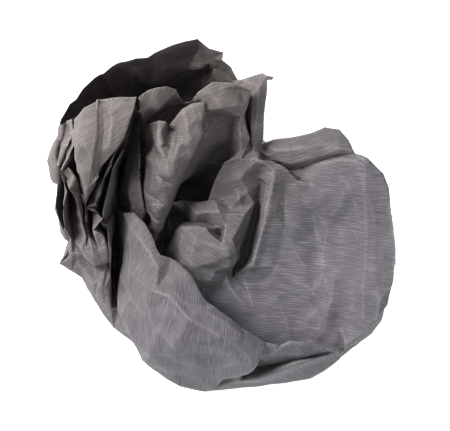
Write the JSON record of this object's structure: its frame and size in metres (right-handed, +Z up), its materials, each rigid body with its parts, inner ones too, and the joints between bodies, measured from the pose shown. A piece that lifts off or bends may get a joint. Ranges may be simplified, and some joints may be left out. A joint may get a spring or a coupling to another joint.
{
  "type": "crumpled paper",
  "caption": "Crumpled sheet of dark grey ribbed kraft paper, crushed into an open bowl with a folded collar, pleats and standing flaps.",
  "frame": {"origin": "on the surface the paper lies on, under the middle of the heap", "axes": "+Z up, the open side of the bowl; +X towards the bowl, away from the pleats; +Y towards the open wall behind the flaps"},
  "size_m": [0.1396, 0.142, 0.069],
  "materials": {
    "ribbed_kraft_paper": "matt, fine ribs"
  },
  "bodies": {
    "root": {"paper_sheet": "ribbed_kraft_paper"}
  },
  "joints": []
}
